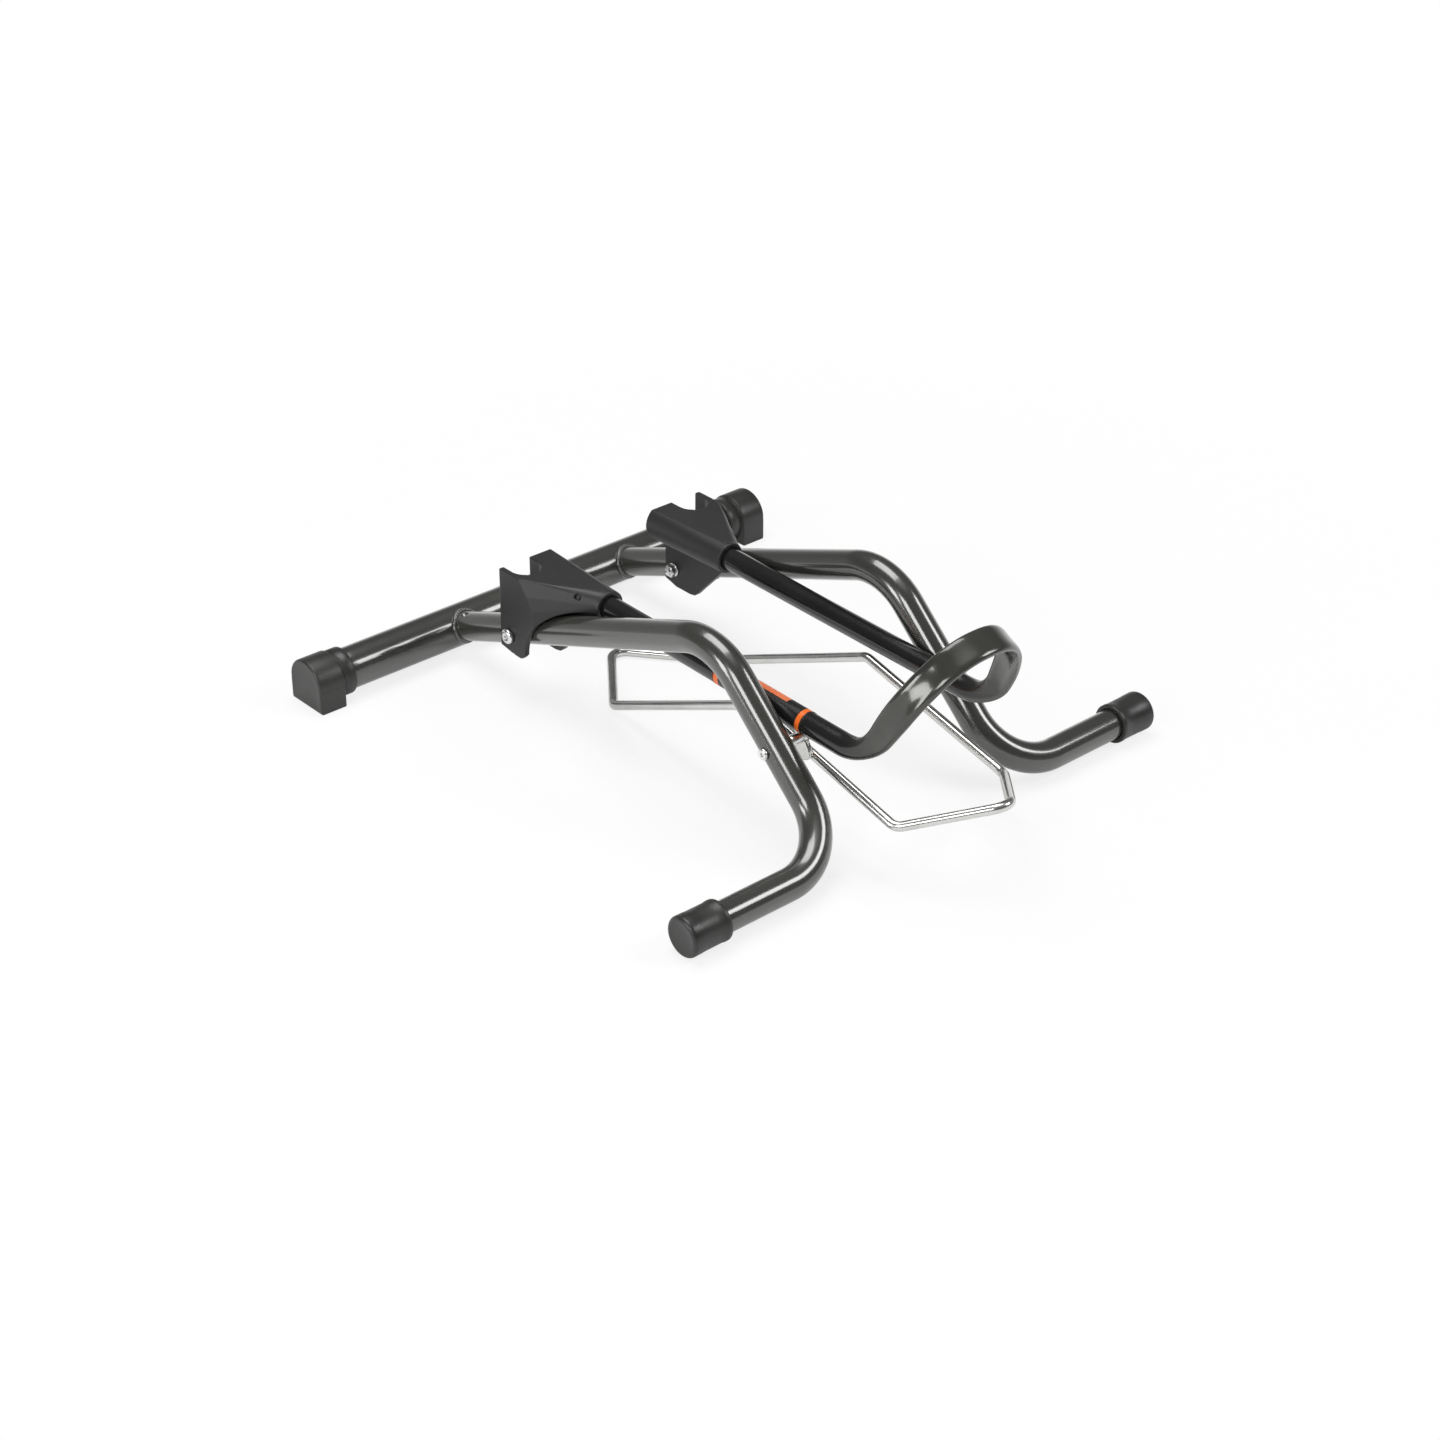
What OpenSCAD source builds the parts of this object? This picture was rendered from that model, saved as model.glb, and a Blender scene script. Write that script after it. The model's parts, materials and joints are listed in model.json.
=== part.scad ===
// Folding floor stand that holds a bicycle upright by one wheel.
// It is drawn as it lies folded: X runs forward from the base bar to the foot bars,
// Y runs across, Z is up, and the floor is at Z = 0.

/* [Base bar] */
// Outside diameter of the base bar tube
base_tube_d = 36; // [32:0.5:42]
// Wall of the base bar tube
base_tube_wall = 1.6; // [1:0.1:3]
// Width of the stand over the two rubber feet
base_w = 490; // [440:5:560]

/* [Rubber feet] */
// Length of the flat bottomed block of a foot
foot_block_l = 25; // [15:1:40]
// Length of the round collar of a foot
foot_collar_l = 13; // [6:1:25]
// Rubber wall of the collar round the base bar
foot_wall = 2.5; // [1.5:0.1:2.8]
// Height of the flat bottomed block
foot_h = 42.4; // [42:0.2:50]
// Rubber under the base bar, down to the floor
foot_sole = 2.8; // [1.5:0.1:8]
// Half width of the flat sole of a foot
foot_half_w = 22; // [21.5:0.5:30]
// Thickness of the closed end of a foot
foot_end_t = 4; // [2:0.5:8]

/* [Frame legs] */
// Outside diameter of the leg tube
leg_tube_d = 25.4; // [22:0.2:30]
// Wall of the leg tube
leg_tube_wall = 1.6; // [1:0.1:3]
// Distance between the centres of the two legs
leg_spacing = 180; // [170:1:200]
// Length of the rising stretch, from the base bar's axis to the top corner
leg_rise_l = 360; // [330:1:390]
// Angle of the rising stretch above the floor
leg_rise_angle = 20.6; // [17:0.1:23]
// Angle of the falling stretch below level
leg_fall_angle = 43; // [38:0.5:50]
// Bend radius at the top corner
leg_top_bend_r = 58; // [40:1:80]
// Bend radius where the leg turns outward
leg_foot_bend_r = 52; // [40:1:70]
// Width of the stand over the two end caps
foot_bar_w = 492; // [440:2:560]
// Diameter of the vent hole in each leg
vent_d = 5; // [3:0.5:7]

/* [End caps] */
// Length of an end cap
cap_l = 39; // [25:1:60]
// Rubber wall of an end cap
cap_wall = 3.8; // [2:0.1:6]
// Thickness of the closed end of an end cap
cap_end_t = 4; // [2:0.5:8]

/* [Hoop] */
// Outside diameter of the hoop tube
hoop_tube_d = 19; // [16:0.5:22]
// Wall of the hoop tube
hoop_tube_wall = 1.5; // [1:0.1:2.5]
// Distance between the centres of the hoop's two legs
hoop_spacing = 129; // [120:1:132]
// Distance along the hoop from its pivot to the start of the hook
hoop_l = 350; // [320:1:380]
// Angle by which the folded hoop dips towards its hook
hoop_dip = 1.2; // [0:0.1:2]
// Angle between the hook and the legs of the hoop
hook_angle = 63; // [45:1:75]
// Bend radius between the hoop's legs and its hook
hook_bend_r = 43; // [25:1:50]
// Depth of the hook from the bend to its crown
hook_l = 127; // [110:1:145]
// Width of the flattened tube at the crown
hook_strap_w = 24.5; // [20:0.5:29]
// Thickness of the flattened tube at the crown
hook_strap_t = 7.5; // [4:0.5:12]

/* [Hoop brackets] */
// Distance from the base bar's axis to the hoop pivot, along the leg
pivot_along = 107; // [100:1:130]
// Height of the hoop's axis above its pivot
hoop_rise = 44.4; // [42:0.2:50]
// Angle that the hoop swings from folded to upright
hoop_swing = 112; // [106:1:116]
// Outside radius of the barrel's back end
barrel_r = 16.5; // [15:0.5:18]
// Outside radius of the barrel's mouth
barrel_mouth_r = 13.5; // [12:0.5:15]
// Length of the barrel in front of the pivot
barrel_front = 78; // [65:1:95]
// Length of the barrel behind the pivot
barrel_back = 12; // [10:0.5:16]
// Thickness of a cheek plate
cheek_t = 5; // [3:0.5:8]
// Thickness of the wall between the barrel and the frame leg's channel
inner_t = 7; // [5:0.5:8]
// Height of the bracket's level top above its pivot
bracket_top = 58; // [56:0.5:60]
// Reach of the cheeks below the pivot
cheek_drop = 16; // [14:0.5:20]
// Clearance between the bracket and the leg tube
saddle_gap = 0.35; // [0.3:0.05:0.8]

/* [Pivot fittings] */
// Diameter of the hoop pivot bolt
hoop_bolt_d = 6; // [6:1:8]
// Diameter of the hoop pivot bolt's head
hoop_bolt_head_d = 13; // [12:0.5:15]
// Height of the hoop pivot bolt's head
hoop_bolt_head_h = 4.4; // [3:0.2:6]
// Outside diameter of the sleeve through the leg at the hoop pivot
pivot_sleeve_d = 11; // [10.4:0.2:12]
// Diameter of the cradle bolt
cradle_bolt_d = 5; // [4:0.5:5]
// Diameter of the cradle bolt's head
cradle_bolt_head_d = 9.5; // [8:0.5:12]
// Height of the cradle bolt's head
cradle_bolt_head_h = 2.8; // [2:0.1:5]
// Thickness of a plain washer
washer_t = 1.2; // [0.8:0.1:2]
// Length of thread that shows beyond a nut
thread_end = 2.5; // [1:0.5:5]
// Radial clearance of a turning pivot
run_gap = 0.06; // [0.02:0.01:0.1]

/* [Wire cradle] */
// Diameter of the wire
wire_d = 8; // [6:0.5:10]
// Distance between the centres of the two rails
rail_spacing = 116; // [104:1:120]
// Distance from the base bar's axis to the kink's bolt, along the falling stretch from the top corner
cradle_along = 96; // [85:1:105]
// Distance of the kink behind the cradle bolt
kink_back = 57; // [50:1:65]
// Length of a rail from the kink back to the floor
rail_back_l = 194; // [180:1:205]
// Length of a rail from the kink to the front corner
rail_front_l = 158; // [145:1:170]
// Angle by which the front rails dip
rail_front_dip = 14.1; // [10:0.1:20]
// Reach of the pointed front lip
lip_front_l = 66.6; // [55:0.5:80]
// Angle by which the front lip rises
lip_front_rise = 21.4; // [10:0.2:30]
// Reach of the pointed back lip
lip_back_l = 74; // [60:0.5:80]
// Bend radius of the wire's corners
wire_bend_r = 12; // [9:0.5:16]
// Height of the wire's lowest side above the floor
wire_lift = 0.3; // [0.2:0.1:1]
// Thickness of a lug plate
lug_t = 4; // [3:0.5:6]
// Wall of a lug round its bolt
lug_wall = 1.8; // [1.5:0.1:1.9]
// Width of a lug where it meets the rail
lug_w = 16; // [12:0.5:24]

/* [Label band] */
// Distance from the hoop pivot to the start of the band
label_start = 220; // [190:1:230]
// Length of the band
label_l = 94; // [60:1:110]
// Thickness of the band
label_t = 0.3; // [0.2:0.05:0.5]

/* [Hidden] */
$fn = 64;

gunmetal = [0.24, 0.24, 0.23];
rubber = [0.06, 0.06, 0.06];
plastic = [0.10, 0.10, 0.10];
zinc = [0.80, 0.80, 0.80];
satin_black = [0.07, 0.07, 0.07];
chrome = [0.75, 0.75, 0.72];

// Radii and the height of the base bar's axis
base_r = base_tube_d / 2;
leg_r = leg_tube_d / 2;
hoop_r = hoop_tube_d / 2;
wire_r = wire_d / 2;
foot_r = base_r + foot_wall;
cap_r = leg_r + cap_wall;
base_z = base_r + foot_sole;
leg_y = leg_spacing / 2;
hoop_y = hoop_spacing / 2;
rail_y = rail_spacing / 2;
// Gap between two pieces of one body that are pushed together
push_gap = 0.05;
// Amount by which a cut runs past the face that it opens
past = 1;

// The leg's corners: top corner, foot corner and the end inside the cap
top_x = leg_rise_l * cos(leg_rise_angle);
top_z = base_z + leg_rise_l * sin(leg_rise_angle);
corner_z = cap_r;
corner_x = top_x + (top_z - corner_z) / tan(leg_fall_angle);
leg_end_y = foot_bar_w / 2 - cap_end_t;
cap_in_y = foot_bar_w / 2 - cap_l;
leg_points = [[0, leg_y, base_z], [top_x, leg_y, top_z], [corner_x, leg_y, corner_z],
    [corner_x, leg_end_y, corner_z]];
leg_radii = [0, leg_top_bend_r, leg_foot_bend_r, 0];

// Hoop pivot on the rising stretch, and cradle pivot on the falling stretch
pivot_x = pivot_along * cos(leg_rise_angle);
pivot_z = base_z + pivot_along * sin(leg_rise_angle);
rock_x = top_x + cradle_along * cos(leg_fall_angle);
rock_z = top_z - cradle_along * sin(leg_fall_angle);

// Corners of the wire, seen from the side
floor_z = wire_r + wire_lift;
kink_x = rock_x - kink_back;
kink_z = rock_z;
heel_x = kink_x - sqrt(pow(rail_back_l, 2) - pow(kink_z - floor_z, 2));
toe_x = kink_x + rail_front_l * cos(rail_front_dip);
toe_z = kink_z - rail_front_l * sin(rail_front_dip);
tip_x = toe_x + lip_front_l * cos(lip_front_rise);
tip_z = toe_z + lip_front_l * sin(lip_front_rise);
tail_x = heel_x - lip_back_l;
wire_points = [[tail_x, 0, floor_z], [heel_x, -rail_y, floor_z], [kink_x, -rail_y, kink_z],
    [toe_x, -rail_y, toe_z], [tip_x, 0, tip_z], [toe_x, rail_y, toe_z],
    [kink_x, rail_y, kink_z], [heel_x, rail_y, floor_z]];

// The stand's middle, so that the origin lies under the centre of its box
tip_side = unit([toe_x - tip_x, rail_y, toe_z - tip_z]);
tip_half = acos(abs(tip_side[1]));
lip_lean = cos(lip_front_rise);
tip_pull = wire_bend_r * (1 / cos(tip_half) - 1) * lip_lean;
front_x = tip_x - tip_pull + wire_r;
back_x = -foot_half_w;
mid_x = (front_x + back_x) / 2;

// Saddle of a bracket: the leg's two directions in the bracket's own frame
saddle_r = leg_r + saddle_gap;
fold_dir = leg_rise_angle + hoop_dip;
up_dir = 180 + fold_dir - hoop_swing;
cheek_in = leg_y + saddle_r;
inner_in = leg_y - saddle_r;
washer_gap = 0.2;

function unit(v) = v / norm(v);
function turn(a, b, c) = acos(max(-1, min(1, unit(b - a) * unit(c - b))));
function trim(a, b, c, r) = r == 0 ? 0 : r * tan(turn(a, b, c) / 2);

// Stands the children with their Z axis along the direction d, at the point p
module along(p, d) {
    w = unit(d);
    u = unit(cross(abs(w[2]) < 0.9 ? [0, 0, 1] : [1, 0, 0], w));
    v = cross(w, u);
    multmatrix([[u[0], v[0], w[0], p[0]], [u[1], v[1], w[1], p[1]], [u[2], v[2], w[2], p[2]],
        [0, 0, 0, 1]])
        children();
}

// Round elbow at the corner b of the path a, b, c
module elbow(a, b, c, bend_r, r) {
    u = unit(b - a);
    v = unit(c - b);
    n = unit(v - u * (u * v));
    start = b - u * trim(a, b, c, bend_r);
    o = start + n * bend_r;
    w = cross(-n, u);
    multmatrix([[-n[0], u[0], w[0], o[0]], [-n[1], u[1], w[1], o[1]], [-n[2], u[2], w[2], o[2]],
        [0, 0, 0, 1]])
        rotate_extrude(angle = turn(a, b, c))
            translate([bend_r, 0])
                circle(r);
}

// Rod of radius r along the points, with a bend radius at each corner. The straights run a
// little way into the elbows, which are thinner by a hair, so that they join cleanly.
bend_in = 0.4;
bend_step = 0.02;
module rod(points, radii, r, closed = false) {
    n = len(points);
    last = closed ? n - 1 : n - 2;
    for (i = [0 : last]) {
        a = points[i];
        b = points[(i + 1) % n];
        before = points[(i + n - 1) % n];
        after = points[(i + 2) % n];
        cut_a = (closed || i > 0) ? trim(before, a, b, radii[i]) - bend_in : 0;
        cut_b = (closed || i < last) ? trim(a, b, after, radii[(i + 1) % n]) - bend_in : 0;
        along(a + unit(b - a) * cut_a, b - a)
            cylinder(h = norm(b - a) - cut_a - cut_b, r = r);
        if (closed || i < last)
            elbow(a, b, after, radii[(i + 1) % n], r - bend_step);
    }
}

// Everything is drawn for the left side, +Y, and mirrored for the right
module side(s) {
    translate([-mid_x, 0, 0])
        mirror([0, s < 0 ? 1 : 0, 0])
            children();
}

// Cylinder along Y between two places, round the axis at x, z
module across(x, z, y0, y1, r) {
    translate([x, y0, z])
        rotate([-90, 0, 0])
            cylinder(h = y1 - y0, r = r);
}

module base_bar() {
    color(gunmetal)
        side(1)
            difference() {
                across(0, base_z, -base_w / 2 + foot_end_t, base_w / 2 - foot_end_t, base_r);
                across(0, base_z, -base_w / 2, base_w / 2, base_r - base_tube_wall);
            }
}

// Boot over the end of the base bar: a flat bottomed block with a round top, and a collar
module foot(s) {
    block_y = base_w / 2 - foot_block_l;
    top_r = foot_half_w + 0.3;
    top_z = foot_h - top_r;
    color(rubber)
        side(s)
            difference() {
                union() {
                    across(0, base_z, block_y - foot_collar_l, base_w / 2 - foot_end_t, foot_r);
                    translate([-foot_half_w, block_y, 0])
                        cube([2 * foot_half_w, foot_block_l, top_z]);
                    intersection() {
                        translate([-foot_half_w, block_y, top_z / 2])
                            cube([2 * foot_half_w, foot_block_l, foot_h]);
                        across(0, top_z, block_y, base_w / 2, top_r);
                    }
                }
                across(0, base_z, block_y - foot_collar_l - past, base_w / 2 - foot_end_t,
                    base_r + push_gap);
            }
}

// Bent tube, coped to sit on the base bar, with its bolt holes and vent
module leg(s) {
    vent_along = base_r + leg_r;
    color(gunmetal)
        side(s)
            difference() {
                rod(leg_points, leg_radii, leg_r);
                rod(leg_points, leg_radii, leg_r - leg_tube_wall);
                across(0, base_z, leg_y - leg_tube_d, leg_y + leg_tube_d, base_r);
                across(pivot_x, pivot_z, leg_y - leg_tube_d, leg_y + leg_tube_d,
                    pivot_sleeve_d / 2 + push_gap);
                across(rock_x, rock_z, leg_y - leg_tube_d, leg_y + leg_tube_d,
                    cradle_bolt_d / 2 + push_gap);
                translate([vent_along * cos(leg_rise_angle), leg_y, base_z + vent_along * sin(leg_rise_angle)])
                    rotate([0, -leg_rise_angle, 0])
                        cylinder(h = leg_tube_d, r = vent_d / 2);
            }
}

module leg_cap(s) {
    edge = 2;
    color(rubber)
        side(s)
            difference() {
                translate([corner_x, cap_in_y, corner_z])
                    rotate([-90, 0, 0]) {
                        cylinder(h = cap_l - edge, r = cap_r);
                        translate([0, 0, cap_l - edge])
                            cylinder(h = edge, r1 = cap_r, r2 = cap_r - edge);
                    }
                across(corner_x, corner_z, cap_in_y - past, leg_end_y, leg_r + push_gap);
            }
}

// Weld bead round the foot of the leg, on the base bar
module weld(s) {
    bead = 2.4;
    color(gunmetal)
        side(s)
            difference() {
                intersection() {
                    along([0, leg_y, base_z], leg_points[1] - leg_points[0])
                        cylinder(h = base_tube_d, r = leg_r + bead);
                    across(0, base_z, leg_y - leg_tube_d, leg_y + leg_tube_d, base_r + bead);
                }
                along([0, leg_y, base_z], leg_points[1] - leg_points[0])
                    cylinder(h = leg_rise_l, r = leg_r + bend_step);
                across(0, base_z, leg_y - leg_tube_d, leg_y + leg_tube_d, base_r + bend_step);
            }
}

// Sleeve through the leg. The hoop pivot bolt passes through it,
// and its ends stay inside the bracket's round saddle
sleeve_half = sqrt(pow(saddle_r, 2) - pow(pivot_sleeve_d / 2, 2)) - 0.3;
module pivot_sleeve(s) {
    color(zinc)
        side(s)
            ring(pivot_x, pivot_z, leg_y - sleeve_half, leg_y + sleeve_half, pivot_sleeve_d / 2,
                hoop_bolt_d / 2 + push_gap);
}

// Domed bolt head on the outer side, its face at y, with a hex socket
module dome_head(x, z, y, d, h, socket) {
    difference() {
        translate([x, y, z])
            rotate([-90, 0, 0]) {
                cylinder(h = h * 0.5, r = d / 2);
                translate([0, 0, h * 0.5])
                    cylinder(h = h * 0.5, r1 = d / 2, r2 = d * 0.33);
            }
        translate([x, y + h * 0.45, z])
            rotate([-90, 0, 0])
                cylinder(h = h, r = socket / 2 / cos(30), $fn = 6);
    }
}

hoop_head_y = cheek_in + cheek_t + washer_gap;
hoop_nut_y = inner_in - inner_t - washer_gap - washer_t;
hoop_nut_h = hoop_bolt_d * 0.8;
module hoop_bolt(s) {
    color(zinc)
        side(s) {
            across(pivot_x, pivot_z, hoop_nut_y - hoop_nut_h - thread_end, hoop_head_y,
                hoop_bolt_d / 2);
            dome_head(pivot_x, pivot_z, hoop_head_y, hoop_bolt_head_d, hoop_bolt_head_h,
                hoop_bolt_d * 0.6);
        }
}

module ring(x, z, y0, y1, r, bore_r) {
    difference() {
        across(x, z, y0, y1, r);
        across(x, z, y0 - past, y1 + past, bore_r);
    }
}

module hoop_washer(s) {
    color(zinc)
        side(s)
            ring(pivot_x, pivot_z, hoop_nut_y, hoop_nut_y + washer_t, hoop_bolt_d,
                hoop_bolt_d / 2 + push_gap);
}

module hex_nut(x, z, y0, y1, flats, bore_r) {
    difference() {
        translate([x, y0, z])
            rotate([-90, 0, 0])
                cylinder(h = y1 - y0, r = flats / 2 / cos(30), $fn = 6);
        across(x, z, y0 - past, y1 + past, bore_r);
    }
}

module hoop_nut(s) {
    color(zinc)
        side(s)
            hex_nut(pivot_x, pivot_z, hoop_nut_y - hoop_nut_h, hoop_nut_y, hoop_bolt_d * 1.625,
                hoop_bolt_d / 2 + push_gap);
}

// The cradle's lug hangs between a spacer on the leg and a washer and nut
lug_boss = 0.25;
lug_in_y = rail_y + wire_r + push_gap - lug_boss;
lug_out_y = lug_in_y + lug_t;
lug_r = cradle_bolt_d / 2 + lug_wall;
cradle_nut_y = lug_in_y - washer_gap - washer_t;
cradle_nut_h = cradle_bolt_d * 0.8;
cradle_head_y = leg_y + leg_r + 0.4;
head_sink = leg_r - sqrt(pow(leg_r, 2) - pow(cradle_bolt_head_d / 2, 2));
module leg_run(r) {
    along([top_x, leg_y, top_z], leg_points[2] - leg_points[1])
        cylinder(h = norm(leg_points[2] - leg_points[1]), r = r);
}

module cradle_bolt(s) {
    color(zinc)
        side(s) {
            across(rock_x, rock_z, cradle_nut_y - cradle_nut_h - thread_end, cradle_head_y + past,
                cradle_bolt_d / 2);
            dome_head(rock_x, rock_z, cradle_head_y, cradle_bolt_head_d, cradle_bolt_head_h,
                cradle_bolt_d * 0.6);
            difference() {
                across(rock_x, rock_z, leg_y + leg_r - head_sink, cradle_head_y,
                    cradle_bolt_head_d / 2);
                leg_run(leg_r);
            }
        }
}

module cradle_spacer(s) {
    color(zinc)
        side(s)
            difference() {
                ring(rock_x, rock_z, lug_out_y + washer_gap, leg_y - leg_r + head_sink,
                    lug_r, cradle_bolt_d / 2 + push_gap);
                leg_run(leg_r);
            }
}

module cradle_washer(s) {
    color(zinc)
        side(s)
            ring(rock_x, rock_z, cradle_nut_y, cradle_nut_y + washer_t, cradle_bolt_d,
                cradle_bolt_d / 2 + push_gap);
}

module cradle_nut(s) {
    color(zinc)
        side(s)
            hex_nut(rock_x, rock_z, cradle_nut_y - cradle_nut_h, cradle_nut_y,
                cradle_bolt_d * 1.667, cradle_bolt_d / 2 + push_gap);
}

// The hoop's own frame: origin on the pivot axis, X along the hoop's legs
module in_hoop(s) {
    side(s)
        translate([pivot_x, 0, pivot_z])
            rotate([0, hoop_dip, 0])
                children();
}

// Centre line of the hook at the distance u from its start: place and direction in the XZ plane
hook_arc = hook_bend_r * hook_angle * PI / 180;
function hook_dir(u) = min(u, hook_arc) / hook_bend_r * 180 / PI;
function hook_at(u) =
    let (a = hook_dir(u), q = max(0, u - hook_arc))
    [hoop_l + hook_bend_r * sin(a) + q * cos(a), hoop_rise + hook_bend_r * (1 - cos(a)) + q * sin(a)];

// Crown of the hook as a rounded arch across the two legs. It changes from round to flat over
// the length hook_change, and its ends run a little way into the tubes.
hook_full = 2.3;
hook_steps = 44;
hook_change = 45;
hook_run_in = 2;
function sign_pow(v, e) = sign(v) * pow(abs(v), e);
function arch_t(i) = -90 + 180 * i / hook_steps;
function arch_u(i) = hook_l * pow(max(0, cos(arch_t(i))), 2 / hook_full);
function arch_y(i) = hoop_y * sign_pow(sin(arch_t(i)), 2 / hook_full);
function arch_point(i) = let (p = hook_at(arch_u(i))) [p[0], arch_y(i), p[1]];
// Normal of the arch's plane, and direction along the arch, at the step i
function arch_normal(i) = let (a = hook_dir(arch_u(i))) [-sin(a), 0, cos(a)];
function arch_tangent(i) =
    i == 0 ? [1, 0, 0]
    : i == hook_steps ? [-1, 0, 0]
    : unit(arch_point(i + 0.5) - arch_point(i - 0.5));
function smooth(f) = f * f * (3 - 2 * f);
function flatness(i) = smooth(min(1, norm([arch_u(i), hoop_y - abs(arch_y(i))]) / hook_change));
function mix(a, b, f) = a + (b - a) * f;
function arch_ring(i, inset, sides, shift) =
    let (n = arch_normal(i), m = cross(arch_tangent(i), n), f = flatness(i),
        hw = mix(hoop_r - bend_step, hook_strap_w / 2, f) - inset,
        ht = mix(hoop_r - bend_step, hook_strap_t / 2, f) - inset, e = mix(1, 0.7, f))
    [for (k = [0 : sides - 1])
        let (t = 360 * k / sides)
        arch_point(i) - [shift, 0, 0] + n * hw * sign_pow(cos(t), e) + m * ht * sign_pow(sin(t), e)];

module hook(inset, sides, run_in) {
    rings = concat([arch_ring(0, inset, sides, run_in)],
        [for (i = [0 : hook_steps]) arch_ring(i, inset, sides, 0)],
        [arch_ring(hook_steps, inset, sides, run_in)]);
    n = sides;
    last = len(rings) - 1;
    points = [for (r = rings) for (p = r) p];
    faces = concat(
        [[for (k = [0 : n - 1]) k]],
        [for (i = [0 : last - 1]) for (k = [0 : n - 1])
            [i * n + k, (i + 1) * n + k, (i + 1) * n + (k + 1) % n]],
        [for (i = [0 : last - 1]) for (k = [0 : n - 1])
            [i * n + k, (i + 1) * n + (k + 1) % n, i * n + (k + 1) % n]],
        [[for (k = [n - 1 : -1 : 0]) last * n + k]]);
    polyhedron(points, faces, convexity = 6);
}

// Hoop: two straight tubes joined by the flattened hook
barrel_end_t = 5;
hoop_start = barrel_end_t - barrel_back;
rivet_x = 60;
rivet_r = 2.4;
rivet_tilt = 24;
rivet_out = barrel_mouth_r + 8;
// Stands the children on the axis of the hoop leg, pointing out along the rivet
module at_rivet() {
    translate([rivet_x, hoop_y, hoop_rise])
        rotate([rivet_tilt - 90, 0, 0])
            children();
}
module hoop_legs(r) {
    for (s = [-1, 1])
        translate([hoop_start, s * hoop_y, hoop_rise])
            rotate([0, 90, 0])
                cylinder(h = hoop_l - hoop_start, r = r);
}
module hoop() {
    color(satin_black)
        in_hoop(1)
            difference() {
                union() {
                    hoop_legs(hoop_r);
                    hook(0, 20, hook_run_in);
                }
                hoop_legs(hoop_r - hoop_tube_wall);
                hook(hoop_tube_wall, 10, hook_run_in + past);
                for (m = [0, 1])
                    mirror([0, m, 0])
                        at_rivet()
                            cylinder(h = hoop_tube_d, r = rivet_r + push_gap);
            }
}

// Space that the leg sweeps through as the hoop swings, seen from the bracket. Its flat sides
// lie a hair inside the round ends, so that the two kinds of face cross cleanly.
module leg_sweep() {
    reach = 160;
    half = saddle_r - bend_step;
    for (d = [fold_dir, up_dir])
        rotate([0, -d, 0])
            translate([0, leg_y, 0])
                rotate([0, 90, 0])
                    cylinder(h = 2 * reach, r = saddle_r, center = true);
    for (d = [up_dir, up_dir + 180])
        plate(leg_y - half, leg_y + half)
            polygon([[0, 0], [reach * cos(d), reach * sin(d)],
                [reach * 1.6 * cos(d + hoop_swing / 2), reach * 1.6 * sin(d + hoop_swing / 2)],
                [reach * cos(d + hoop_swing), reach * sin(d + hoop_swing)]]);
}

// Plate in the XZ plane between two places across
module plate(y0, y1) {
    translate([0, y1, 0])
        rotate([90, 0, 0])
            linear_extrude(y1 - y0)
                children();
}

module barrel() {
    translate([-barrel_back, hoop_y, hoop_rise])
        rotate([0, 90, 0])
            cylinder(h = barrel_front + barrel_back, r1 = barrel_r, r2 = barrel_mouth_r);
}

// Bracket: a barrel on the hoop leg, two cheeks that straddle the frame leg, and a shoulder
// between them whose two saddles seat on the frame leg when folded and when upright. What
// bounds the leg's channel starts a little inside it, and the channel is cut last.
web_in = 0.5;
module shoulder() {
    hull() {
        plate(cheek_in + web_in, cheek_in + cheek_t)
            polygon([[-barrel_back - past, 20], [-barrel_back - past, bracket_top + past],
                [12, bracket_top + past], [24, bracket_top - 12], [31, hoop_rise - 10],
                [32, hoop_rise - 26], [26, 8]]);
        translate([barrel_front - 4, hoop_y, hoop_rise])
            rotate([0, 90, 0])
                cylinder(h = 3, r = barrel_mouth_r - 0.3, $fn = 32);
        translate([-barrel_back - past, hoop_y, hoop_rise])
            rotate([0, 90, 0])
                cylinder(h = 20, r = barrel_r - 1.5, $fn = 32);
    }
}
module cheeks() {
    plate(cheek_in - web_in, cheek_in + cheek_t)
        polygon([[-barrel_back - past, 3 - cheek_drop], [-barrel_back - past, bracket_top - 2],
            [20, 30], [25, 9], [23, 3], [21, -10], [17, 1.5 - cheek_drop], [14, -cheek_drop],
            [3, 0.5 - cheek_drop]]);
    plate(inner_in - inner_t, inner_in + web_in)
        polygon([[-barrel_back - past, 4 - cheek_drop], [-barrel_back - past, hoop_rise],
            [barrel_front - 8, hoop_rise], [barrel_front - 7, 33], [60, 21], [32, -9],
            [27, 1.5 - cheek_drop], [20, -cheek_drop], [3, -cheek_drop]]);
}
module bracket(s) {
    color(plastic)
        in_hoop(s)
            difference() {
                union() {
                    barrel();
                    shoulder();
                    cheeks();
                }
                translate([-leg_spacing, 0, bracket_top])
                    cube([2 * leg_spacing, leg_spacing, barrel_r]);
                translate([-barrel_back - leg_spacing, 0, -leg_spacing])
                    cube([leg_spacing, leg_spacing, 2 * leg_spacing]);
                leg_sweep();
                translate([hoop_start - push_gap, hoop_y, hoop_rise])
                    rotate([0, 90, 0])
                        cylinder(h = barrel_front + barrel_back, r = hoop_r + push_gap);
                across(0, 0, hoop_y, leg_y + leg_tube_d, hoop_bolt_d / 2 + run_gap);
                at_rivet()
                    cylinder(h = 2 * barrel_front, r = rivet_r + push_gap);
            }
}

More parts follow.
